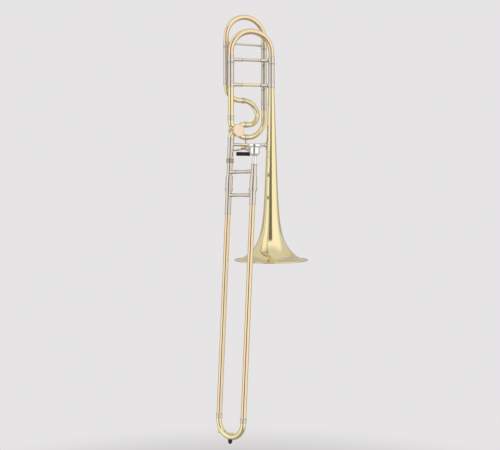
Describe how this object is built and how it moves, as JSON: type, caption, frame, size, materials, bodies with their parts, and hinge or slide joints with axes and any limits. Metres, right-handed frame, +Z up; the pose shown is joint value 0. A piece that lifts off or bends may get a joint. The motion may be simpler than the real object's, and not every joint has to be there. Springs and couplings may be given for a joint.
{
  "type": "tenor trombone",
  "caption": "Tenor trombone with a thumb-worked rotary valve, an open wrap of extra tubing behind the bell section, tuning slides and a long hand slide.",
  "frame": {"origin": "centre of the bell's mouth, on the bell's axis", "axes": "+Z up the bell's axis towards the tuning bow, +X from the neck to the bell, +Y backwards to the valve's tubing"},
  "size_m": [0.2781, 0.2238, 1.2211],
  "materials": {
    "yellow_brass": "lacquered",
    "gold_brass": "lacquered",
    "nickel_silver": "polished nickel silver",
    "silver_plate": "silver plated",
    "rose_brass": "brushed and lacquered",
    "chrome_plate": "polished",
    "spring_steel": "drawn wire",
    "black_rubber": "matte",
    "cork": "natural cork",
    "dark_wood": "oiled"
  },
  "bodies": {
    "bell_section": {"bell": "yellow_brass", "tuning_sleeve_bell": "nickel_silver", "tuning_sleeve_neck": "nickel_silver", "neck_tube": "yellow_brass", "neck_ferrule": "nickel_silver", "valve_casing": "yellow_brass", "valve_bearing_plate": "yellow_brass", "valve_cap": "rose_brass", "valve_bumper_rest": "black_rubber", "valve_bumper_pressed": "black_rubber", "slide_receiver": "nickel_silver", "bell_brace": "nickel_silver", "tuning_brace": "nickel_silver", "f_ferrule_upper": "nickel_silver", "f_ferrule_lower": "nickel_silver", "f_loop": "yellow_brass", "f_loop_ferrule": "nickel_silver", "f_return_tube": "yellow_brass", "f_sleeve_left": "nickel_silver", "f_sleeve_right": "nickel_silver", "f_lower_tube": "yellow_brass", "trigger_saddle": "yellow_brass", "trigger_pivot_screw": "nickel_silver", "trigger_spring": "spring_steel"},
    "tuning_slide": {"tuning_bow": "gold_brass", "tuning_leg_neck": "nickel_silver", "tuning_leg_bell": "nickel_silver", "tuning_bow_brace": "nickel_silver"},
    "f_tuning_slide": {"f_bow": "gold_brass", "f_leg_left": "nickel_silver", "f_leg_right": "nickel_silver", "f_bow_brace": "nickel_silver"},
    "rotor": {"rotor": "yellow_brass", "stop_arm": "nickel_silver"},
    "trigger_lever": {"trigger_lever": "nickel_silver", "trigger_grip": "dark_wood"},
    "link_rod": {"link_rod": "nickel_silver"},
    "lock_nut": {"lock_nut": "nickel_silver"},
    "inner_slide": {"slide_tenon": "nickel_silver", "mouthpiece_receiver": "nickel_silver", "inner_brace": "nickel_silver", "cork_barrel_neck": "nickel_silver", "cork_barrel_mouthpiece": "nickel_silver", "inner_tube_neck": "chrome_plate", "inner_tube_mouthpiece": "chrome_plate"},
    "slide_lock": {"slide_lock_ring": "nickel_silver"},
    "outer_slide": {"outer_tube_neck": "gold_brass", "outer_tube_mouthpiece": "gold_brass", "oversleeve_neck": "nickel_silver", "oversleeve_mouthpiece": "nickel_silver", "outer_brace": "nickel_silver", "crook_ferrule_neck": "nickel_silver", "crook_ferrule_mouthpiece": "nickel_silver", "crook": "yellow_brass", "crook_bumper": "black_rubber", "water_key_saddle": "yellow_brass", "water_key_spring": "spring_steel"},
    "water_key": {"water_key_lever": "yellow_brass", "water_key_pad": "cork"},
    "mouthpiece": {"mouthpiece": "silver_plate"}
  },
  "joints": [
    {"name": "tuning_slide_travel", "type": "slide", "parent": "bell_section", "child": "tuning_slide", "axis": [0, 0, 1], "range_m": [0, 0.04]},
    {"name": "f_slide_travel", "type": "slide", "parent": "bell_section", "child": "f_tuning_slide", "axis": [0, 0, 1], "range_m": [0, 0.05]},
    {"name": "rotor_turn", "type": "hinge", "parent": "bell_section", "child": "rotor", "pos_m": [-0.10354, 0.00578, 0.376], "axis": [-0.3502, 0.9367, 0], "range_deg": [0, 90], "stiffness_Nm_per_rad": 0.05, "springref_deg": -28.65},
    {"name": "trigger_pivot", "type": "hinge", "parent": "bell_section", "child": "trigger_lever", "pos_m": [-0.076, 0, 0.3245], "axis": [1, 0, 0], "range_deg": [-0.01, 25.28]},
    {"name": "link_pivot", "type": "hinge", "parent": "trigger_lever", "child": "link_rod", "pos_m": [-0.11686, 0.02525, 0.31884], "axis": [1, 0, 0], "range_deg": [-25.28, 0.01]},
    {"name": "lock_nut_turn", "type": "hinge", "parent": "bell_section", "child": "lock_nut", "pos_m": [-0.119, 0, 0.35], "axis": [0.0528, 0.0471, 0.9975], "range_deg": [0, 360]},
    {"name": "slide_turn", "type": "hinge", "parent": "bell_section", "child": "inner_slide", "pos_m": [-0.119, 0, 0.35], "axis": [0.0528, 0.0471, 0.9975], "range_deg": [-40, 0]},
    {"name": "slide_lock_turn", "type": "hinge", "parent": "inner_slide", "child": "slide_lock", "pos_m": [-0.06302, -0.06919, 0.3503], "axis": [0.0528, 0.0471, 0.9975], "range_deg": [0, 50]},
    {"name": "hand_slide_travel", "type": "slide", "parent": "inner_slide", "child": "outer_slide", "axis": [-0.0528, -0.0471, -0.9975], "range_m": [0, 0.6]},
    {"name": "water_key_pivot", "type": "hinge", "parent": "outer_slide", "child": "water_key", "pos_m": [-0.12693, -0.06155, -0.48848], "axis": [0.0528, 0.0471, 0.9975], "range_deg": [0, 15], "stiffness_Nm_per_rad": 0.02, "springref_deg": -20.05},
    {"name": "mouthpiece_lift", "type": "slide", "parent": "inner_slide", "child": "mouthpiece", "axis": [0.0528, 0.0471, 0.9975], "range_m": [0, 0.03]}
  ],
  "couplings": [
    {"joint": "trigger_pivot", "follows": "rotor_turn", "ratio": 0.28064},
    {"joint": "link_pivot", "follows": "rotor_turn", "ratio": -0.28064}
  ]
}
